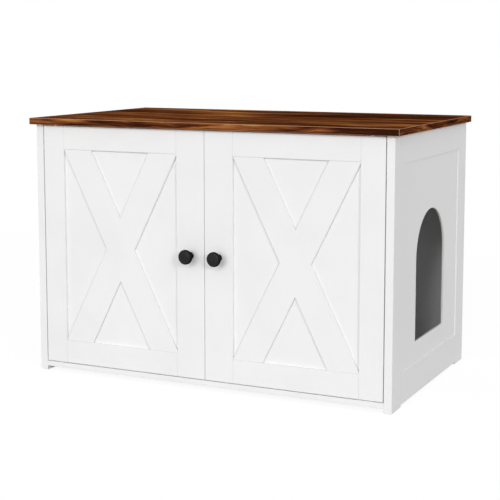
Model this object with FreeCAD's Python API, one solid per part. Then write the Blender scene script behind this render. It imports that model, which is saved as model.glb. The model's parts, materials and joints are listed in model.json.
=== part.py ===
import FreeCAD, Part
import math
import os

# Cat litter box cabinet: a white painted case with a brown wood top, two inset frame-and-panel
# doors with X braces, and an arched cat entrance in the right side.
# All sizes are millimetres. +X is to the right seen from the front, +Y to the back, +Z up.
# The origin is on the floor, under the middle of the whole object, door knobs included.

os.makedirs("parts", exist_ok=True)
Vector = FreeCAD.Vector

# ---- case ----
cabinet_width = 876.0          # over the two side frames
cabinet_depth = 522.0          # front of the stiles to the back
cabinet_height = 582.0         # floor to the underside of the top
top_thickness = 15.0
top_side_overhang = 12.0
top_front_overhang = 12.0
frame_thickness = 18.0         # stiles and rails of the sides and the doors
panel_thickness = 4.0          # thin panels held in the frames' grooves
side_recess = 3.0              # outer face of a side frame to the face of its panel
door_recess = 6.0              # the same in the doors
groove_depth = 8.0
groove_play = 0.5              # left at the bottom of a groove, past a panel or a tenon
base_thickness = 12.0
base_clearance = 10.0          # floor to the underside of the base
back_thickness = 5.0
back_rebate = 8.0              # how far the back reaches over each rear stile
divider_thickness = 12.0
divider_setback = 2.0          # back of the closed doors to the divider

# ---- side frames ----
side_stile_width = 59.0
side_top_rail_width = 62.0
side_bottom_rail_width = 68.0
side_rail_lift = 5.0           # floor to the underside of the bottom rail, between the feet

# ---- cat entrance, and the passage through the divider ----
entrance_width = 206.0
entrance_height = 283.0        # sill to the crown of the arch
entrance_sill = 121.0          # floor to the sill

# ---- doors ----
door_side_gap = 2.0
door_centre_gap = 1.0
door_top_gap = 2.0
door_bottom_gap = 1.5
hinge_stile_width = 54.0
meeting_stile_width = 69.0
door_rail_width = 54.0
brace_width = 66.0             # each bar of the X
brace_thickness = 5.0
brace_corner_drop = 3.0        # frame's corner down the stile to where a bar's edge starts
brace_clearance = 0.2          # ends of the X to the frame

# ---- pivot hinges: a pin at each end of the hinge stile ----
pivot_inset = 30.0             # hinge edge of the door to the pivot
pin_diameter = 6.0
pin_socket_depth = 28.0        # in the end of the stile
pin_reach = 7.0                # past the collar, into the bush
collar_diameter = 13.0
bush_diameter = 10.0
bush_length = 8.0
bush_flange_diameter = 16.0
bush_flange_thickness = 0.8
bush_running_clearance = 0.06  # radial
pivot_end_play = 0.2

# ---- knobs ----
knob_diameter = 33.0
knob_projection = 29.0         # door face to the front of the knob
knob_rim = 7.0                 # thickness of the cap at its rim
knob_crown = 1.0               # how far the cap's face bulges
knob_rim_round = 3.6           # between the cap's rim and its face
knob_back_round = 1.2          # between the cap's rim and its back
knob_neck_diameter = 12.0
knob_foot_diameter = 17.0
knob_foot_thickness = 2.5
knob_screw_diameter = 4.0
knob_screw_clearance = 0.25    # radial, in the stile
knob_screw_bite = 13.0
knob_screw_head_diameter = 8.0
knob_screw_head_height = 2.5

# ---- magnetic catches ----
catch_width = 46.0
catch_height = 15.0
catch_depth = 20.0
catch_corner = 1.5
magnet_width = 26.0
magnet_height = 8.0
magnet_depth = 12.0
magnet_proud = 0.5             # in front of the housing
catch_gap = 0.3                # magnet to the strike plate
strike_width = 38.0
strike_height = 9.0
strike_thickness = 1.2
strike_screw_spacing = 26.0
strike_screw_diameter = 2.5
strike_screw_length = 11.0
strike_screw_head_diameter = 4.8
catch_screw_spacing = 36.0
catch_screw_diameter = 3.0
catch_screw_clearance = 0.2    # radial, in the housing
catch_screw_bite = 9.0         # in the top
catch_screw_head_diameter = 5.6
catch_screw_head_height = 2.2

# ---- knock-down fittings and dowels ----
cam_diameter = 15.0
cam_setback = 24.0             # edge of the board to the middle of the cam
cam_end_distance = 45.0        # end of a side rail to the nearest cam bolt
cam_slot_width = 2.0
cam_slot_length = 11.0
cam_slot_depth = 1.5
bolt_diameter = 6.0
bolt_hole_clearance = 0.4      # radial, where the bolt passes
bolt_bite = 11.0
dowel_diameter = 6.0
dowel_length = 30.0
dowel_bite = 8.0
base_dowel_step = 60.0         # cam bolt to the dowel beside it, along the base
divider_dowel_distance = 70.0  # divider's front and back edges to its dowels

# ---- back screws ----
back_screw_diameter = 3.0
back_screw_length = 16.0
back_screw_head_diameter = 6.0
back_screw_head_height = 1.8
back_screw_edge = 40.0         # ends of the back to its first screws
back_side_screw_count = 4
back_base_screw_count = 3

# ---- cross recess in every screw head ----
drive_slot_width = 0.9
drive_depth = 1.1
drive_margin = 1.0             # end of a recess to the rim of its head

# ---- eased edges ----
top_easing = 1.0
frame_easing = 0.7
brace_easing = 2.0             # along the long edges of the bars
board_easing = 0.5
same_place = 0.001             # two places nearer than this are one

# Places that follow from the sizes
front_reach = max(knob_projection, top_front_overhang)
front_y = (front_reach - cabinet_depth) / 2
back_y = front_y + cabinet_depth
outer_x = cabinet_width / 2
inner_x = outer_x - frame_thickness
inner_back_y = back_y - back_thickness
base_top_z = base_clearance + base_thickness
door_edge_x = inner_x - door_side_gap
door_meeting_x = door_centre_gap / 2
door_back_y = front_y + frame_thickness
door_bottom_z = base_top_z + door_bottom_gap
door_top_z = cabinet_height - door_top_gap
door_mid_z = (door_bottom_z + door_top_z) / 2
hinge_stile_x = door_edge_x - hinge_stile_width
meeting_stile_x = door_meeting_x + meeting_stile_width
knob_x = door_meeting_x + meeting_stile_width / 2
pivot_x = door_edge_x - pivot_inset
pivot_y = front_y + frame_thickness / 2
entrance_y = (front_y + back_y) / 2
divider_front_y = door_back_y + divider_setback
rail_front_y = front_y + side_stile_width
rail_back_y = back_y - side_stile_width
cam_places_y = (rail_front_y + cam_end_distance, rail_back_y - cam_end_distance)

X, Y, Z = Vector(1, 0, 0), Vector(0, 1, 0), Vector(0, 0, 1)


def block(x_low, x_high, y_low, y_high, z_low, z_high):
    return Part.makeBox(x_high - x_low, y_high - y_low, z_high - z_low, Vector(x_low, y_low, z_low))


def rod(diameter, length, start, direction):
    return Part.makeCylinder(diameter / 2, length, start, direction)


def mirrored(shape):
    """The right-hand piece for a left-hand one."""
    return shape.mirror(Vector(0, 0, 0), X)


def eased(shape, radius, planes):
    """Round the edges that lie in the given planes, each an axis and a place on it."""
    chosen = []
    for edge in shape.Edges:
        for axis, place in planes:
            distances = [abs(vertex.Point.dot(axis) - place) for vertex in edge.Vertexes]
            if max(distances) < same_place and edge not in chosen:
                chosen.append(edge)
    return shape.makeFillet(radius, chosen)


def profile_face(points):
    return Part.Face(Part.makePolygon(points + points[:1]))


def arch_cutter(x_low, x_high):
    """The entrance's shape, right through whatever stands between two places on X."""
    radius = entrance_width / 2
    spring_z = entrance_sill + entrance_height - radius
    doorway = block(x_low, x_high, entrance_y - radius, entrance_y + radius, entrance_sill, spring_z)
    crown = rod(entrance_width, x_high - x_low, Vector(x_low, entrance_y, spring_z), X)
    return doorway.fuse(crown).removeSplitter()


def evenly(first, last, count):
    step = (last - first) / (count - 1)
    return [first + number * step for number in range(count)]


# ---- fittings: what each joint takes, so that bores and fasteners share one place ----

def top_cam_places():
    """Cam bolts that stand in a left side rail, under the top."""
    middle_x = -outer_x + frame_thickness / 2
    return [Vector(middle_x, y, cabinet_height) for y in cam_places_y]


def base_cam_places():
    """Cam bolts that lie in the base, from the left side's bottom rail."""
    middle_z = base_clearance + base_thickness / 2
    return [Vector(-inner_x, y, middle_z) for y in cam_places_y]


def top_dowel_places():
    """Dowels in the tops of the left side's stiles."""
    middle_x = -outer_x + frame_thickness / 2
    front = Vector(middle_x, front_y + side_stile_width / 2, cabinet_height)
    back = Vector(middle_x, back_y - side_stile_width / 2, cabinet_height)
    return [front, back]


def base_dowel_places():
    middle_z = base_clearance + base_thickness / 2
    front, back = cam_places_y
    return [Vector(-inner_x, y, middle_z) for y in (front + base_dowel_step, back - base_dowel_step)]


def divider_dowel_places():
    """Dowels at both ends of the divider's height: where each starts, and which way the divider is."""
    places = []
    for y in (divider_front_y + divider_dowel_distance, inner_back_y - divider_dowel_distance):
        places.append((Vector(0, y, cabinet_height), -Z))
        places.append((Vector(0, y, base_top_z), Z))
    return places


def cam_bolt(place, inward):
    """A bolt that bites into one board and reaches the middle of the cam in the other."""
    return rod(bolt_diameter, bolt_bite + cam_setback, place - inward * bolt_bite, inward)


def cam_bolt_bite_hole(place, inward):
    return rod(bolt_diameter, bolt_bite, place - inward * bolt_bite, inward)


def cam_bolt_hole(place, inward):
    return rod(bolt_diameter + 2 * bolt_hole_clearance, cam_setback, place, inward)


def cam_depth(board_thickness):
    return board_thickness / 2 + bolt_diameter / 2 + bolt_hole_clearance


def cam_pocket(place, inward, face_distance, outward):
    """The blind hole for a cam, from the board's face that looks outward."""
    middle = place + inward * cam_setback
    face = middle + outward * face_distance
    return rod(cam_diameter, cam_depth(2 * face_distance), face, -outward)


def slot_cutter(middle, along, across, length, width, inward, depth):
    """A straight slot sunk into a face, its length along one direction and its width across."""
    corner = middle - along * (length / 2) - across * (width / 2)
    points = [corner, corner + along * length, corner + along * length + across * width,
              corner + across * width]
    return profile_face(points).extrude(inward * depth)


def cam_lock(place, inward, face_distance, outward):
    """A cam that fills its pocket, bored for the bolt and slotted for a screwdriver."""
    body = cam_pocket(place, inward, face_distance, outward)
    face = place + inward * cam_setback + outward * face_distance
    slot = slot_cutter(face, inward.cross(outward), inward, cam_slot_length, cam_slot_width,
                       -outward, cam_slot_depth)
    return body.cut(cam_bolt_hole(place, inward)).cut(slot)


def dowel(place, inward):
    return rod(dowel_diameter, dowel_length, place - inward * dowel_bite, inward)


def countersunk_blank(head_face, inward, diameter, length, head_diameter, head_height):
    """A countersunk screw with no recess, which is also the shape of its hole."""
    shank = rod(diameter, length, head_face, inward)
    head = Part.makeCone(head_diameter / 2, diameter / 2, head_height, head_face, inward)
    return shank.fuse(head).removeSplitter()


def with_recess(blank, head_face, inward, head_diameter):
    """The finished screw: a cross sunk into its head."""
    upright = Y if abs(inward.dot(Z)) > 0.5 else Z
    level = upright.cross(inward)
    length = head_diameter - 2 * drive_margin
    for along, across in ((upright, level), (level, upright)):
        blank = blank.cut(slot_cutter(head_face, along, across, length, drive_slot_width,
                                      inward, drive_depth))
    return blank


# ---- case ----

def top_panel():
    panel = block(-outer_x - top_side_overhang, outer_x + top_side_overhang,
                  front_y - top_front_overhang, back_y,
                  cabinet_height, cabinet_height + top_thickness)
    panel = panel.makeFillet(top_easing, panel.Edges)
    for place in top_cam_places():
        panel = with_both_sides_cut(panel, cam_bolt_bite_hole(place, -Z))
    for place in top_dowel_places():
        panel = with_both_sides_cut(panel, dowel(place, -Z))
    for place, inward in divider_dowel_places():
        if inward == -Z:
            panel = panel.cut(dowel(place, inward))
    panel = with_both_sides_cut(panel, bush_socket(cabinet_height, Z))
    for place in catch_screw_places():
        panel = with_both_sides_cut(panel, catch_screw_blank(place))
    return panel


def with_both_sides_cut(shape, tool):
    return shape.cut(tool).cut(mirrored(tool))


def base_panel():
    panel = block(-inner_x, inner_x, front_y, inner_back_y, base_clearance, base_top_z)
    panel = eased(panel, board_easing, [(Y, front_y)])
    for place in base_cam_places():
        panel = with_both_sides_cut(panel, cam_bolt_hole(place, X))
        panel = with_both_sides_cut(panel, cam_pocket(place, X, base_thickness / 2, -Z))
    for place in base_dowel_places():
        panel = with_both_sides_cut(panel, dowel(place, X))
    for place, inward in divider_dowel_places():
        if inward == Z:
            panel = panel.cut(dowel(place, inward))
    panel = with_both_sides_cut(panel, bush_socket(base_top_z, -Z))
    for place in back_screw_places():
        panel = panel.cut(back_screw_blank(place))
    return panel


def back_panel():
    reach = inner_x + back_rebate
    panel = block(-reach, reach, inner_back_y, back_y, base_clearance, cabinet_height)
    for place in back_screw_places():
        panel = panel.cut(back_screw_blank(place))
    return panel


def back_screw_places():
    """Where the heads lie, flush with the back: along both rear stiles and along the base."""
    places = []
    stile_x = inner_x + back_rebate / 2
    first_z = base_clearance + back_screw_edge
    for z in evenly(first_z, cabinet_height - back_screw_edge, back_side_screw_count):
        places.append(Vector(-stile_x, back_y, z))
        places.append(Vector(stile_x, back_y, z))
    side_x = inner_x - back_screw_edge
    for x in evenly(-side_x, side_x, back_base_screw_count):
        places.append(Vector(x, back_y, base_clearance + base_thickness / 2))
    return places


def back_screw_blank(place):
    return countersunk_blank(place, -Y, back_screw_diameter, back_screw_length,
                             back_screw_head_diameter, back_screw_head_height)


def back_screw(place):
    return with_recess(back_screw_blank(place), place, -Y, back_screw_head_diameter)


def divider_panel():
    half = divider_thickness / 2
    panel = block(-half, half, divider_front_y, inner_back_y, base_top_z, cabinet_height)
    panel = eased(panel, board_easing, [(Y, divider_front_y)])
    panel = panel.cut(arch_cutter(-divider_thickness, divider_thickness))
    for place, inward in divider_dowel_places():
        panel = panel.cut(dowel(place, inward))
    return panel


# ---- side frames, made for the left ----

def side_groove(y_low, y_high, z_low, z_high):
    x_low = -outer_x + side_recess
    return block(x_low, x_low + panel_thickness, y_low, y_high, z_low, z_high)


def side_stile(y_low, groove_y):
    """A full-height stile; its groove starts above the foot."""
    stile = block(-outer_x, -inner_x, y_low, y_low + side_stile_width, 0, cabinet_height)
    stile = eased(stile, frame_easing, [(X, -outer_x), (Y, front_y), (Y, back_y)])
    groove = side_groove(groove_y, groove_y + groove_depth, side_rail_lift, cabinet_height)
    stile = stile.cut(groove)
    for place in top_dowel_places():
        stile = stile.cut(dowel(place, -Z))
    return stile


def side_front_stile():
    return side_stile(front_y, rail_front_y - groove_depth)


def side_rear_stile():
    """The rear stile is rebated inside for the back."""
    stile = side_stile(rail_back_y, rail_back_y)
    rebate_x = -inner_x - back_rebate
    stile = stile.cut(block(rebate_x, -inner_x, inner_back_y, back_y, base_clearance, cabinet_height))
    for place in back_screw_places():
        stile = stile.cut(back_screw_blank(place))
    return stile


def side_rail(z_low, z_high, groove_z):
    """A rail between the stiles, with a stub tenon in each stile's groove."""
    rail = block(-outer_x, -inner_x, rail_front_y, rail_back_y, z_low, z_high)
    rail = eased(rail, frame_easing, [(X, -outer_x)])
    tenon = groove_depth - groove_play
    rail = rail.fuse(side_groove(rail_front_y - tenon, rail_back_y + tenon, z_low, z_high))
    groove = side_groove(rail_front_y - tenon, rail_back_y + tenon, groove_z, groove_z + groove_depth)
    return rail.cut(groove).removeSplitter()


def side_top_rail():
    z_low = cabinet_height - side_top_rail_width
    rail = side_rail(z_low, cabinet_height, z_low)
    for place in top_cam_places():
        rail = rail.cut(cam_bolt_hole(place, -Z))
        rail = rail.cut(cam_pocket(place, -Z, frame_thickness / 2, X))
    return rail


def side_bottom_rail():
    z_high = side_rail_lift + side_bottom_rail_width
    rail = side_rail(side_rail_lift, z_high, z_high - groove_depth)
    for place in base_cam_places():
        rail = rail.cut(cam_bolt_bite_hole(place, X))
    for place in base_dowel_places():
        rail = rail.cut(dowel(place, X))
    return rail


def side_panel():
    """The thin panel, its four edges in the grooves."""
    reach = groove_depth - groove_play
    return side_groove(rail_front_y - reach, rail_back_y + reach,
                       side_rail_lift + side_bottom_rail_width - reach,
                       cabinet_height - side_top_rail_width + reach)


# ---- doors, made for the left ----

def door_groove(x_low, x_high, z_low, z_high):
    y_low = front_y + door_recess
    return block(x_low, x_high, y_low, y_low + panel_thickness, z_low, z_high)


def door_stile(x_low, x_high, groove_x):
    stile = block(x_low, x_high, front_y, door_back_y, door_bottom_z, door_top_z)
    stile = eased(stile, frame_easing, [(Y, front_y), (Y, door_back_y)])
    return stile.cut(door_groove(groove_x, groove_x + groove_depth, door_bottom_z, door_top_z))


def door_hinge_stile():
    stile = door_stile(-door_edge_x, -hinge_stile_x, -hinge_stile_x - groove_depth)
    lower = rod(pin_diameter, pin_socket_depth, Vector(-pivot_x, pivot_y, door_bottom_z), Z)
    upper = rod(pin_diameter, pin_socket_depth, Vector(-pivot_x, pivot_y, door_top_z), -Z)
    return stile.cut(lower).cut(upper)


def door_meeting_stile():
    stile = door_stile(-meeting_stile_x, -door_meeting_x, -meeting_stile_x)
    hole_diameter = knob_screw_diameter + 2 * knob_screw_clearance
    stile = stile.cut(rod(hole_diameter, frame_thickness, Vector(-knob_x, front_y, door_mid_z), Y))
    for place in strike_screw_places():
        stile = stile.cut(strike_screw_blank(place))
    return stile


def door_rail(z_low, groove_z):
    rail = block(-hinge_stile_x, -meeting_stile_x, front_y, door_back_y, z_low, z_low + door_rail_width)
    rail = eased(rail, frame_easing, [(Y, front_y), (Y, door_back_y)])
    tenon = groove_depth - groove_play
    x_low = -hinge_stile_x - tenon
    x_high = -meeting_stile_x + tenon
    rail = rail.fuse(door_groove(x_low, x_high, z_low, z_low + door_rail_width))
    return rail.cut(door_groove(x_low, x_high, groove_z, groove_z + groove_depth)).removeSplitter()


def door_top_rail():
    z_low = door_top_z - door_rail_width
    return door_rail(z_low, z_low)


def door_bottom_rail():
    return door_rail(door_bottom_z, door_bottom_z + door_rail_width - groove_depth)


def door_panel():
    reach = groove_depth - groove_play
    return door_groove(-hinge_stile_x - reach, -meeting_stile_x + reach,
                       door_bottom_z + door_rail_width - reach,
                       door_top_z - door_rail_width + reach)


def brace_angle():
    """The slope at which a bar's edge meets the stile just below the frame's corner."""
    half_width = (hinge_stile_x - meeting_stile_x) / 2
    half_height = (door_top_z - door_bottom_z) / 2 - door_rail_width - brace_corner_drop
    reach = math.hypot(half_width, half_height)
    return math.atan2(half_height, half_width) + math.asin(brace_width / 2 / reach)


def brace_bar(slope):
    """A bar through the middle of the door's opening, longer than the opening."""
    centre = Vector(-(hinge_stile_x + meeting_stile_x) / 2, front_y + door_recess, door_mid_z)
    along = Vector(math.cos(slope), 0, math.sin(slope))
    across = Vector(-math.sin(slope), 0, math.cos(slope))
    reach = along * cabinet_height
    side = across * (brace_width / 2)
    points = [centre - reach - side, centre + reach - side, centre + reach + side, centre - reach + side]
    return profile_face(points).extrude(-Y * brace_thickness)


def brace_field():
    """The opening in the door's frame, less the clearance round the braces."""
    return block(-hinge_stile_x + brace_clearance, -meeting_stile_x - brace_clearance,
                 front_y, door_back_y,
                 door_bottom_z + door_rail_width + brace_clearance,
                 door_top_z - door_rail_width - brace_clearance)


def cross_brace():
    """The X, sawn from one board, whose four ends meet the frame; its long edges are rounded."""
    rising = brace_bar(brace_angle())
    falling = brace_bar(math.pi - brace_angle())
    cross = rising.fuse(falling).removeSplitter().common(brace_field())
    face_y = front_y + door_recess - brace_thickness
    slanted = [edge for edge in cross.Edges
               if abs(edge.BoundBox.YMin - face_y) < same_place and abs(edge.BoundBox.YMax - face_y) < same_place
               and min(edge.BoundBox.XLength, edge.BoundBox.ZLength) > same_place]
    return cross.makeFillet(brace_easing, slanted)


# ---- knobs ----

def knob():
    """A turned knob: foot, waisted neck and a wide cap with a well rounded rim and a nearly flat face."""
    cap_radius = knob_diameter / 2
    neck_radius = knob_neck_diameter / 2
    foot_radius = knob_foot_diameter / 2
    rim_front = knob_projection - knob_crown
    rim_back = rim_front - knob_rim

    def at(radius, forward):
        return Vector(radius, -forward, 0)

    waist_mid = (knob_foot_thickness + rim_back) / 2
    foot_corner = at(foot_radius, knob_foot_thickness)
    cap_corner = at(cap_radius - knob_back_round, rim_back)
    crown_middle = at(cap_radius / 2, rim_front + knob_crown * 3 / 4)
    outline = [Part.makeLine(at(0, 0), at(foot_radius, 0)),
               Part.makeLine(at(foot_radius, 0), foot_corner),
               Part.Arc(foot_corner, at(neck_radius, waist_mid), cap_corner).toShape(),
               Part.makeLine(cap_corner, at(cap_radius, rim_back + knob_back_round)),
               Part.makeLine(at(cap_radius, rim_back + knob_back_round), at(cap_radius, rim_front)),
               Part.Arc(at(cap_radius, rim_front), crown_middle, at(0, knob_projection)).toShape(),
               Part.makeLine(at(0, knob_projection), at(0, 0))]
    turned = Part.Face(Part.Wire(outline)).revolve(Vector(0, 0, 0), Y, 360)
    rims = [edge for edge in turned.Edges
            if abs(edge.BoundBox.YMax + rim_front) < same_place
            and edge.BoundBox.XMax > cap_radius - same_place]
    turned = turned.makeFillet(knob_rim_round, rims[:1])
    turned.translate(Vector(-knob_x, front_y, door_mid_z))
    bite = rod(knob_screw_diameter, knob_screw_bite, Vector(-knob_x, front_y, door_mid_z), -Y)
    return turned.cut(bite)


def knob_screw():
    """The screw from inside the door, its head on the back of the stile."""
    seat = Vector(-knob_x, door_back_y, door_mid_z)
    shank = rod(knob_screw_diameter, frame_thickness + knob_screw_bite, seat, -Y)
    head = rod(knob_screw_head_diameter, knob_screw_head_height, seat, Y)
    screw = shank.fuse(head).removeSplitter()
    return with_recess(screw, seat + Y * knob_screw_head_height, -Y, knob_screw_head_diameter)


# ---- pivots, made for the left door ----

def bush_socket(face_z, inward):
    return rod(bush_diameter, bush_length, Vector(-pivot_x, pivot_y, face_z), inward)


def pivot_bush(face_z, inward):
    """A flanged bush let into the face of a board."""
    face = Vector(-pivot_x, pivot_y, face_z)
    bush = bush_socket(face_z, inward)
    bush = bush.fuse(rod(bush_flange_diameter, bush_flange_thickness, face, -inward))
    bore_diameter = pin_diameter + 2 * bush_running_clearance
    start = face - inward * bush_flange_thickness
    return bush.cut(rod(bore_diameter, bush_flange_thickness + bush_length, start, inward)).removeSplitter()


def pivot_pin(door_z, gap, outward):
    """A pin pressed into the end of the stile, with a collar that takes up the gap."""
    collar_thickness = gap - bush_flange_thickness - pivot_end_play
    start = Vector(-pivot_x, pivot_y, door_z)
    pin = rod(pin_diameter, pin_socket_depth + gap + pin_reach, start - outward * pin_socket_depth, outward)
    return pin.fuse(rod(collar_diameter, collar_thickness, start, outward)).removeSplitter()


# ---- magnetic catches, made for the left door ----

def catch_front_y():
    return door_back_y + strike_thickness + catch_gap + magnet_proud


def catch_magnet():
    y_low = catch_front_y() - magnet_proud
    z_mid = cabinet_height - catch_height / 2
    return block(-knob_x - magnet_width / 2, -knob_x + magnet_width / 2,
                 y_low, y_low + magnet_depth,
                 z_mid - magnet_height / 2, z_mid + magnet_height / 2)


def catch_screw_places():
    y = catch_front_y() + catch_depth / 2
    return [Vector(-knob_x + side * catch_screw_spacing / 2, y, cabinet_height) for side in (-1, 1)]


def catch_screw_blank(place):
    """A pan-head screw from under the housing up into the top."""
    bottom = place - Z * catch_height
    head = rod(catch_screw_head_diameter, catch_screw_head_height, bottom, Z)
    shank = rod(catch_screw_diameter, catch_height + catch_screw_bite, bottom, Z)
    return shank.fuse(head).removeSplitter()


def catch_screw(place):
    return with_recess(catch_screw_blank(place), place - Z * catch_height, Z, catch_screw_head_diameter)


def catch_housing():
    y_low = catch_front_y()
    housing = block(-knob_x - catch_width / 2, -knob_x + catch_width / 2, y_low, y_low + catch_depth,
                    cabinet_height - catch_height, cabinet_height)
    uprights = [edge for edge in housing.Edges if edge.BoundBox.ZLength > catch_height / 2]
    housing = housing.makeFillet(catch_corner, uprights)
    housing = housing.cut(catch_magnet())
    hole_diameter = catch_screw_diameter + 2 * catch_screw_clearance
    for place in catch_screw_places():
        bottom = place - Z * catch_height
        housing = housing.cut(rod(hole_diameter, catch_height, bottom, Z))
        housing = housing.cut(rod(catch_screw_head_diameter, catch_screw_head_height, bottom, Z))
    return housing


def strike_screw_places():
    """Where the heads lie, flush with the face of the strike plate."""
    z_mid = cabinet_height - catch_height / 2
    return [Vector(-knob_x + side * strike_screw_spacing / 2, door_back_y + strike_thickness, z_mid)
            for side in (-1, 1)]


def strike_screw_blank(place):
    return countersunk_blank(place, -Y, strike_screw_diameter, strike_screw_length,
                             strike_screw_head_diameter, strike_thickness)


def strike_screw(place):
    return with_recess(strike_screw_blank(place), place, -Y, strike_screw_head_diameter)


def strike_plate():
    z_mid = cabinet_height - catch_height / 2
    plate = block(-knob_x - strike_width / 2, -knob_x + strike_width / 2,
                  door_back_y, door_back_y + strike_thickness,
                  z_mid - strike_height / 2, z_mid + strike_height / 2)
    for place in strike_screw_places():
        plate = plate.cut(strike_screw_blank(place))
    return plate


# ---- build ----

def save(name, *solids):
    shape = solids[0] if len(solids) == 1 else Part.makeCompound(list(solids))
    shape.exportStep("parts/" + name + ".step")
    print(name, len(shape.Solids), "solid(s)", round(shape.Volume / 1000, 1), "cm3", shape.isValid())


def save_pair(name, shape):
    save("left_" + name, shape)
    save("right_" + name, mirrored(shape))


def both_sides(shapes):
    return shapes + [mirrored(shape) for shape in shapes]


save("top_panel", top_panel())
save("base_panel", base_panel())
save("back_panel", back_panel())
save("back_screws", *[back_screw(place) for place in back_screw_places()])
save("divider_panel", divider_panel())
save("divider_dowels", *[dowel(place, inward) for place, inward in divider_dowel_places()])

save("left_side_panel", side_panel())
save("right_side_panel", mirrored(side_panel()).cut(arch_cutter(inner_x, outer_x)))
save_pair("front_stile", side_front_stile())
save_pair("rear_stile", side_rear_stile())
save_pair("side_top_rail", side_top_rail())
save_pair("side_bottom_rail", side_bottom_rail())

top_bolts = [cam_bolt(place, -Z) for place in top_cam_places()]
base_bolts = [cam_bolt(place, X) for place in base_cam_places()]
save("cam_bolts", *both_sides(top_bolts + base_bolts))
top_cams = [cam_lock(place, -Z, frame_thickness / 2, X) for place in top_cam_places()]
base_cams = [cam_lock(place, X, base_thickness / 2, -Z) for place in base_cam_places()]
save("cam_locks", *both_sides(top_cams + base_cams))
top_dowels = [dowel(place, -Z) for place in top_dowel_places()]
base_dowels = [dowel(place, X) for place in base_dowel_places()]
save("case_dowels", *both_sides(top_dowels + base_dowels))

save_pair("door_panel", door_panel())
save_pair("hinge_stile", door_hinge_stile())
save_pair("meeting_stile", door_meeting_stile())
save_pair("door_top_rail", door_top_rail())
save_pair("door_bottom_rail", door_bottom_rail())
save_pair("cross_brace", cross_brace())
save_pair("knob", knob())
save_pair("knob_screw", knob_screw())

save_pair("lower_pivot_pin", pivot_pin(door_bottom_z, door_bottom_gap, -Z))
save_pair("upper_pivot_pin", pivot_pin(door_top_z, door_top_gap, Z))
save_pair("lower_pivot_bush", pivot_bush(base_top_z, -Z))
save_pair("upper_pivot_bush", pivot_bush(cabinet_height, Z))

save_pair("catch_housing", catch_housing())
save_pair("catch_magnet", catch_magnet())
save("catch_screws", *both_sides([catch_screw(place) for place in catch_screw_places()]))
save_pair("strike_plate", strike_plate())
strike_screws = [strike_screw(place) for place in strike_screw_places()]
save("left_strike_screws", *strike_screws)
save("right_strike_screws", *[mirrored(screw) for screw in strike_screws])
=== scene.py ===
import json
import math

import bmesh
import bpy
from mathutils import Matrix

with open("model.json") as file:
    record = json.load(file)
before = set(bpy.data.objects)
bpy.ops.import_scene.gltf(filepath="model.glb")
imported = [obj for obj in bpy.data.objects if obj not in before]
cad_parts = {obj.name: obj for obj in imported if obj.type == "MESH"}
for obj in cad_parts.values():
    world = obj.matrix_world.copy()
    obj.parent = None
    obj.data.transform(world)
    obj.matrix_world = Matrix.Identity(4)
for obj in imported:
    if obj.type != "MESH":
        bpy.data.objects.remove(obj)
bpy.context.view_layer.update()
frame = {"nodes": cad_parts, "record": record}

millimetre = 0.001
mostOfNoise = {"From Min": 0.3, "From Max": 0.7}  # nearly all values of a noise lie between these


def linear(hexColour):
    # sRGB hex to the linear values that shaders take
    channels = [int(hexColour[i:i + 2], 16) / 255 for i in (1, 3, 5)]
    return [c / 12.92 if c <= 0.04045 else ((c + 0.055) / 1.055) ** 2.4 for c in channels] + [1.0]


def addNode(tree, kind, inputs=None, ramp=None, output=0, **settings):
    # adds a shader node with its settings, fixed inputs and links, and gives back one of its outputs
    node = tree.nodes.new("ShaderNode" + kind)
    for name, value in settings.items():
        setattr(node, name, value)
    for socket, value in (inputs or {}).items():
        if isinstance(value, bpy.types.NodeSocket):
            tree.links.new(value, node.inputs[socket])
        else:
            node.inputs[socket].default_value = value
    if ramp:  # the colour at each place
        elements = node.color_ramp.elements
        while len(elements) < len(ramp):
            elements.new(1.0)
        for element, (place, colour) in zip(elements, ramp.items()):
            element.position = place
            element.color = linear(colour)
    return node.outputs[output] if node.outputs else node


def newMaterial(name):
    material = bpy.data.materials.new(name)
    material.use_nodes = True
    material.node_tree.nodes.clear()
    return material


def closeMaterial(material, shader):
    # puts the surface shader and the output on a material's nodes
    tree = material.node_tree
    surface = addNode(tree, "BsdfPrincipled", shader)
    addNode(tree, "OutputMaterial", {"Surface": surface})
    return material


def placeInMillimetres(tree):
    place = addNode(tree, "TexCoord", output="Object")
    return addNode(tree, "VectorMath", {0: place, "Scale": 1 / millimetre}, operation="SCALE")


view = {
    "place": (1.2689, -2.6825, 0.7682),  # metres
    "yaw": 25.42,  # degrees to the left of straight back
    "pitch": 7.07,  # degrees downwards
    "sensor": 36.0,  # mm wide
    "lens": 90.9,  # mm
    "shift": -0.10,  # share of the picture's width
}


def makeCamera():
    camera = bpy.data.objects.new("camera", bpy.data.cameras.new("camera"))
    bpy.context.collection.objects.link(camera)
    camera.location = view["place"]
    camera.rotation_euler = (math.radians(90 - view["pitch"]), 0, math.radians(view["yaw"]))
    camera.data.sensor_width = view["sensor"]
    camera.data.lens = view["lens"]
    camera.data.shift_y = view["shift"]
    bpy.context.scene.camera = camera


light = {
    "lamps": {  # name: degrees round from the front to the right, degrees up, softness in degrees, strength
        "key": (11, 27, 10, 0.36),
        "side": (48, 17, 12, 0.84),
        "fill": (-10, 14, 30, 0.76),
    },
    "ambient": "#c2c2c2",
    "background": "#ffffff",
}


def makeLamps():
    for name, (around, up, softness, strength) in light["lamps"].items():
        lamp = bpy.data.objects.new(name, bpy.data.lights.new(name, "SUN"))
        bpy.context.collection.objects.link(lamp)
        lamp.data.energy = strength
        lamp.data.angle = math.radians(softness)
        lamp.rotation_euler = (math.radians(90 - up), 0, math.radians(around))


def raysToBackground(tree):
    # 1 for the rays that see the plain background: the camera's, and those of gloss and glass
    rays = addNode(tree, "LightPath").node.outputs
    seen = rays["Is Camera Ray"]
    for ray in ("Is Glossy Ray", "Is Transmission Ray"):
        seen = addNode(tree, "Math", {0: seen, 1: rays[ray]}, operation="MAXIMUM")
    return seen


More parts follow.
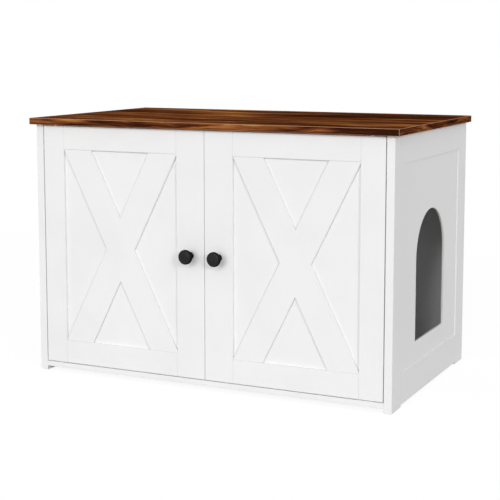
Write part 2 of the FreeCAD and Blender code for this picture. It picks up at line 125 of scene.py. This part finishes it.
def makeWorld():
    world = bpy.data.worlds.new("studio")
    bpy.context.scene.world = world
    world.use_nodes = True
    tree = world.node_tree
    tree.nodes.clear()
    ambient = addNode(tree, "Background", {"Color": linear(light["ambient"]), "Strength": 1.0})
    white = addNode(tree, "Background", {"Color": linear(light["background"]), "Strength": 1.0})
    both = addNode(tree, "MixShader", {0: raysToBackground(tree), 1: ambient, 2: white})
    addNode(tree, "OutputWorld", {"Surface": both})


studioFloor = {
    "colour": "#c4c4c4",
    "half": 12.0,  # metres
    "white": 0.75,  # share of plain white in the floor as the camera sees it
    "glow": 1.2,  # strength of that white, which brings the open floor to the background's white
}


def makeFloor():
    # matt board that takes the shadow and passes into the background with no horizon
    shape = bmesh.new()
    bmesh.ops.create_grid(shape, x_segments=1, y_segments=1, size=studioFloor["half"])
    mesh = bpy.data.meshes.new("floor")
    shape.to_mesh(mesh)
    shape.free()
    floor = bpy.data.objects.new("floor", mesh)
    bpy.context.collection.objects.link(floor)
    material = newMaterial("paleStudioFloor")
    tree = material.node_tree
    lit = addNode(tree, "BsdfDiffuse", {"Color": linear(studioFloor["colour"])})
    white = addNode(tree, "Emission", {"Color": linear(light["background"]), "Strength": studioFloor["glow"]})
    share = addNode(tree, "Math", {0: raysToBackground(tree), 1: studioFloor["white"]}, operation="MULTIPLY")
    both = addNode(tree, "MixShader", {0: share, 1: lit, 2: white})
    addNode(tree, "OutputMaterial", {"Surface": both})
    mesh.materials.append(material)


arris = {
    "power": 4.0,  # of the normal's parts, even so that their signs don't count
    "drop": 1 / 6,  # how far their sum has dropped where the surface is all arris
    "share": 0.8,  # how much of the arris's tone shows there
}


def toneArrisesWithPaintedLight(tree, colour, tone):
    # gives a squared board's small rounded edges their own tone, painted shade on the white boards and the
    # foil's pale core with a painted highlight on the wood: the sum of the powers is 1 on its flat faces and
    # drops where the surface turns
    normal = addNode(tree, "TexCoord", output="Normal")
    parts = addNode(tree, "SeparateXYZ", {0: normal}).node.outputs
    powers = [addNode(tree, "Math", {0: part, 1: arris["power"]}, operation="POWER") for part in parts]
    total = powers[0]
    for power in powers[1:]:
        total = addNode(tree, "Math", {0: total, 1: power}, operation="ADD")
    share = addNode(tree, "MapRange", {"Value": total, "From Min": 1 - arris["drop"], "From Max": 1.0,
                                       "To Min": arris["share"], "To Max": 0.0})
    return addNode(tree, "MixRGB", {"Fac": share, "Color1": colour, "Color2": linear(tone)})


def cloudsAndGrain(tree, value):
    # soft clouds between two tones and a fine raised grain, one of which also varies the roughness
    place = placeInMillimetres(tree)
    noises = {}
    for layer in ("cloud", "grain"):
        width, detail = value[layer]
        noises[layer] = addNode(tree, "TexNoise", {"Vector": place, "Scale": 1 / width, "Detail": detail})
    colour = addNode(tree, "ValToRGB", {"Fac": noises["cloud"]}, ramp=value["tones"])
    start, end = value["roughness"]
    roughness = addNode(tree, "MapRange", {"Value": noises[value["roughWith"]], **mostOfNoise,
                                           "To Min": start, "To Max": end})
    height = value["grainHeight"] * millimetre
    bump = addNode(tree, "Bump", {"Height": noises["grain"], "Strength": 1.0, "Distance": height})
    return {"Base Color": colour, "Roughness": roughness, "Normal": bump}


whitePaint = {
    "tones": {0.30: "#eeeeee", 0.58: "#f1f1f1"},  # from a thin film to a full one
    # painted shade: the arrises are greyer than the faces so the eased edges and joints show as dark lines
    "arris": "#e4e4e4",
    "cloud": (130.0, 3.0),  # mm across, detail
    "grain": (2.6, 1.5),  # mm across, detail: the orange peel of the spray coat
    "grainHeight": 0.03,  # mm
    "roughness": (0.38, 0.50),
    "roughWith": "cloud",
    "gloss": 0.4,
}


def sprayedBoard():
    # MDF under a sprayed satin coat: even white, faint orange peel, and painted shade on the arrises, a grey
    # that draws the eased edges and joints as dark lines
    material = newMaterial("sprayedMdfSatinWhite")
    tree = material.node_tree
    finish = cloudsAndGrain(tree, whitePaint)
    # painted shade on the arrises
    finish["Base Color"] = toneArrisesWithPaintedLight(tree, finish["Base Color"], whitePaint["arris"])
    finish["Specular IOR Level"] = whitePaint["gloss"]
    return closeMaterial(material, finish)


woodFoil = {
    "tones": {0.04: "#371a0d", 0.24: "#592d19", 0.46: "#7b4523", 0.72: "#a26334", 0.95: "#bf8a4b"},
    "arris": "#c0967a",  # the foil's pale core shows where it is folded round the edge, made paler still as a painted highlight along the arris
    "bandFrom": 150.0,  # mm across the print at which the edge bands were cut from it
    "endFrom": 1300.0,  # mm, how much further on the two end bands were cut
    "heartWidth": 95.0,  # mm, half the width of one printed board
    "heartDepth": 26.0,  # mm, how far the cut lies from the pith
    "taper": 0.075,  # how fast the cut leaves the pith along the board
    "ring": 8.5,  # mm between growth rings
    "ringTones": {0.0: "#000000", 0.30: "#404040", 0.86: "#ffffff", 1.0: "#000000"},  # white is late wood
    "waves": {  # mm along, mm across, mm aside, detail
        "swirl": (340.0, 75.0, 26.0, 2.0),
        "ripple": (70.0, 16.0, 4.5, 2.0),
    },
    "layers": {  # mm along, mm across, detail, roughness
        "tone": (480.0, 60.0, 3.0, 0.6),
        "streak": (150.0, 5.0, 3.0, 0.65),
        "pore": (34.0, 1.5, 2.0, 0.5),  # wider than the real pores, which are too fine to show
    },
    "shares": {"tone": 2.3, "streak": 1.3},
    "ringShare": -0.20,
    "middleShade": 0.46,
    "bandShade": -0.08,  # the edge bands come out darker than the top faces
    "pore": "#371a0d",
    "poreFrom": (0.56, 0.70),  # the peaks of the pore layer are pores
    "poreShare": 0.55,
    "poreDepth": 0.08,  # mm
    "roughness": (0.55, 0.70),
    "gloss": 0.0,
}


def printedWoodFoil():
    # particle board in a printed matte foil: long plain-sawn figure, edge bands with their own run of grain
    value = woodFoil
    material = newMaterial("printedWoodFoilMatte")
    tree = material.node_tree
    at = addNode(tree, "SeparateXYZ", {0: placeInMillimetres(tree)}).node.outputs
    normal = addNode(tree, "TexCoord", output="Normal")
    facing = addNode(tree, "SeparateXYZ", {0: normal}).node.outputs

    # the grain runs along each board face: x on the faces and the long edges, y on the two end bands
    onBand = []
    halfTurned = math.sqrt(0.5)  # size of the normal's parts in the middle of a rounded edge
    for side in (0, 1):
        size = addNode(tree, "Math", {0: facing[side]}, operation="ABSOLUTE")
        onBand.append(addNode(tree, "Math", {0: size, 1: halfTurned}, operation="GREATER_THAN"))
    onEdge = addNode(tree, "Math", {0: onBand[0], 1: onBand[1]}, operation="MAXIMUM")
    along = addNode(tree, "Mix", {"Factor": onBand[0], "A": at[0], "B": at[1]})
    bandAcross = addNode(tree, "Math", {0: at[2], 1: value["bandFrom"]}, operation="ADD")
    across = addNode(tree, "Mix", {"Factor": onEdge, "A": at[1], "B": bandAcross})
    across = addNode(tree, "Math", {0: onBand[0], 1: value["endFrom"], 2: across}, operation="MULTIPLY_ADD")

    # swirl and ripple push the grain aside
    straight = addNode(tree, "CombineXYZ", {0: along, 1: across})
    aside = across
    for length, width, reach, detail in value["waves"].values():
        spot = addNode(tree, "VectorMath", {0: straight, 1: (1 / length, 1 / width, 0)}, operation="MULTIPLY")
        wave = addNode(tree, "TexNoise", {"Vector": spot, "Scale": 1.0, "Detail": detail},
                       noise_dimensions="2D")
        push = addNode(tree, "MapRange", {"Value": wave, "To Min": -reach, "To Max": reach})
        aside = addNode(tree, "Math", {0: aside, 1: push}, operation="ADD")
    grain = addNode(tree, "CombineXYZ", {0: along, 1: aside})

    # growth rings, cut lengthways a little beside the pith
    fromHeart = addNode(tree, "Math", {0: aside, 1: value["heartWidth"]}, operation="PINGPONG")
    slope = addNode(tree, "Math", {0: along, 1: value["taper"]}, operation="MULTIPLY")
    slope = addNode(tree, "Math", {0: slope}, operation="ABSOLUTE")
    depth = addNode(tree, "Math", {0: slope, 1: value["heartDepth"]}, operation="ADD")
    fromPith = addNode(tree, "CombineXYZ", {0: fromHeart, 1: depth})
    radius = addNode(tree, "VectorMath", {0: fromPith}, output="Value", operation="LENGTH")
    rings = addNode(tree, "Math", {0: radius, 1: value["ring"]}, operation="DIVIDE")
    rings = addNode(tree, "Math", {0: rings}, operation="FRACT")
    lateWood = addNode(tree, "ValToRGB", {"Fac": rings}, ramp=value["ringTones"])

    # tone in broad bands, streaks and pores
    layers = {}
    for name, (length, width, detail, rough) in value["layers"].items():
        spot = addNode(tree, "VectorMath", {0: grain, 1: (1 / length, 1 / width, 0)}, operation="MULTIPLY")
        layers[name] = addNode(tree, "TexNoise", {"Vector": spot, "Scale": 1.0, "Detail": detail,
                                                  "Roughness": rough}, noise_dimensions="2D")
    shade = addNode(tree, "Math", {0: lateWood, 1: value["ringShare"], 2: value["middleShade"]},
                    operation="MULTIPLY_ADD")
    # darkens the edge bands against the top faces
    shade = addNode(tree, "Math", {0: onEdge, 1: value["bandShade"], 2: shade}, operation="MULTIPLY_ADD")
    for name, share in value["shares"].items():
        change = addNode(tree, "MapRange", {"Value": layers[name], "To Min": -share / 2, "To Max": share / 2})
        shade = addNode(tree, "Math", {0: shade, 1: change}, operation="ADD")
    colour = addNode(tree, "ValToRGB", {"Fac": shade}, ramp=value["tones"])
    start, end = value["poreFrom"]
    pore = addNode(tree, "MapRange", {"Value": layers["pore"], "From Min": start, "From Max": end,
                                      "To Min": 0.0, "To Max": value["poreShare"]})
    colour = addNode(tree, "MixRGB", {"Fac": pore, "Color1": colour, "Color2": linear(value["pore"])})
    # the foil's pale core with a painted highlight on the arrises
    colour = toneArrisesWithPaintedLight(tree, colour, value["arris"])
    start, end = value["roughness"]
    roughness = addNode(tree, "MapRange", {"Value": layers["streak"], **mostOfNoise,
                                           "To Min": start, "To Max": end})
    poreDepth = value["poreDepth"] * millimetre
    bump = addNode(tree, "Bump", {"Height": pore, "Strength": 1.0, "Distance": poreDepth}, invert=True)
    return closeMaterial(material, {"Base Color": colour, "Roughness": roughness, "Normal": bump,
                                    "Specular IOR Level": value["gloss"]})


blackCoat = {
    "tones": {0.35: "#090909", 0.75: "#141414"},  # from fresh to worn
    "cloud": (11.0, 3.0),  # mm across, detail: the wear
    "grain": (1.1, 2.0),  # mm across, detail: coarser than the real coat's, which is too fine to show
    "grainHeight": 0.012,  # mm
    "roughness": (0.22, 0.32),
    "roughWith": "cloud",
    "turn": (-0.98, -0.88),  # the normal's y from the flat face to the rim
    "gloss": (0.26, 0.05),  # on the flat face, on the rim
}


def coatedZincKnob():
    # die-cast zinc under a black coat: the flat face is satin and catches the light, the rim stays deep black
    material = newMaterial("coatedZincSatinBlack")
    tree = material.node_tree
    finish = cloudsAndGrain(tree, blackCoat)
    normal = addNode(tree, "TexCoord", output="Normal")
    facing = addNode(tree, "SeparateXYZ", {0: normal}, output="Y")
    start, end = blackCoat["turn"]
    face, rim = blackCoat["gloss"]
    gloss = addNode(tree, "MapRange", {"Value": facing, "From Min": start, "From Max": end,
                                       "To Min": face, "To Max": rim})
    return closeMaterial(material, {**finish, "Specular IOR Level": gloss})


# cloud and grain: mm across, detail; grainHeight: mm; the real grain is finer than this, too fine to show
metals = {
    "zincPlatedSteel": {
        "tones": {0.30: "#a3a8ae", 0.65: "#c3c6c9"},
        "cloud": (6.0, 3.0),
        "grain": (0.7, 1.0),
        "grainHeight": 0.006,
        "roughness": (0.40, 0.24),
        "roughWith": "cloud",
    },
    "dieCastZinc": {
        "tones": {0.30: "#85878a", 0.65: "#a6a7a6"},
        "cloud": (4.0, 3.0),
        "grain": (0.5, 1.0),
        "grainHeight": 0.015,
        "roughness": (0.58, 0.42),
        "roughWith": "cloud",
    },
}


def bareMetal(name):
    # plated steel has a bright skin with a cool cast, cast zinc a grey and slightly rough one
    material = newMaterial(name)
    finish = cloudsAndGrain(material.node_tree, metals[name])
    return closeMaterial(material, {**finish, "Metallic": 1.0})


# cloud and grain: mm across, detail; grainHeight: mm; the tool's real grain is finer, too fine to show
mouldings = {
    "mouldedAbsWhite": {
        "tones": {0.35: "#e2e0da", 0.60: "#ecebe7"},
        "cloud": (9.0, 3.0),
        "grain": (0.6, 2.0),
        "grainHeight": 0.01,
        "roughness": (0.35, 0.48),
        "roughWith": "grain",
        "subsurface": 0.0,
    },
    "mouldedNylonNatural": {
        "tones": {0.35: "#d3ceba", 0.60: "#e3dfd0"},
        "cloud": (5.0, 3.0),
        "grain": (0.8, 2.0),
        "grainHeight": 0.01,
        "roughness": (0.38, 0.52),
        "roughWith": "grain",
        "subsurface": 0.15,
    },
    "sinteredFerrite": {
        "tones": {0.35: "#2a2a2d", 0.60: "#3b3b3f"},
        "cloud": (3.0, 3.0),
        "grain": (0.35, 2.0),
        "grainHeight": 0.03,
        "roughness": (0.60, 0.78),
        "roughWith": "grain",
        "subsurface": 0.0,
    },
}


def mouldedPiece(name):
    # moulded plastic with the fine grain of its tool, and the pressed magnet with a dull gritty face
    material = newMaterial(name)
    finish = cloudsAndGrain(material.node_tree, mouldings[name])
    return closeMaterial(material, {**finish, "Subsurface Weight": mouldings[name]["subsurface"]})


beech = {
    "tones": {0.42: "#dcb98a", 0.66: "#bd9160"},  # from the pale wood to its flecks
    "fleck": (0.35, 0.35, 3.0),  # mm, longest along the dowel
    "fleckDetail": 2.0,
    "fleckHeight": 0.02,  # mm
    "roughness": 0.62,
}


def turnedBeech():
    # beech dowel: pale pinkish wood with short dark flecks along the dowel
    material = newMaterial("turnedBeech")
    tree = material.node_tree
    squeeze = [1 / size for size in beech["fleck"]]
    spot = addNode(tree, "VectorMath", {0: placeInMillimetres(tree), 1: squeeze}, operation="MULTIPLY")
    fleck = addNode(tree, "TexNoise", {"Vector": spot, "Scale": 1.0, "Detail": beech["fleckDetail"]})
    colour = addNode(tree, "ValToRGB", {"Fac": fleck}, ramp=beech["tones"])
    height = beech["fleckHeight"] * millimetre
    bump = addNode(tree, "Bump", {"Height": fleck, "Strength": 1.0, "Distance": height})
    return closeMaterial(material, {"Base Color": colour, "Roughness": beech["roughness"], "Normal": bump})


def dressNodes():
    finishes = {
        "white_paint": sprayedBoard(),
        "brown_wood": printedWoodFoil(),
        "dowel_wood": turnedBeech(),
        "zinc_steel": bareMetal("zincPlatedSteel"),
        "die_cast_zinc": bareMetal("dieCastZinc"),
        "black_knob": coatedZincKnob(),
        "white_plastic": mouldedPiece("mouldedAbsWhite"),
        "bush_nylon": mouldedPiece("mouldedNylonNatural"),
        "magnet": mouldedPiece("sinteredFerrite"),
    }
    for subpart in frame["record"]["subparts"]:
        piece = frame["nodes"][subpart["node"]]
        for slot in piece.material_slots:
            slot.material = finishes[subpart["material_slot"]]


print("camera and light")
makeCamera()
makeLamps()
makeWorld()
makeFloor()
print("finishes")
dressNodes()
bpy.context.scene.view_settings.view_transform = "Standard"

print("sizes")
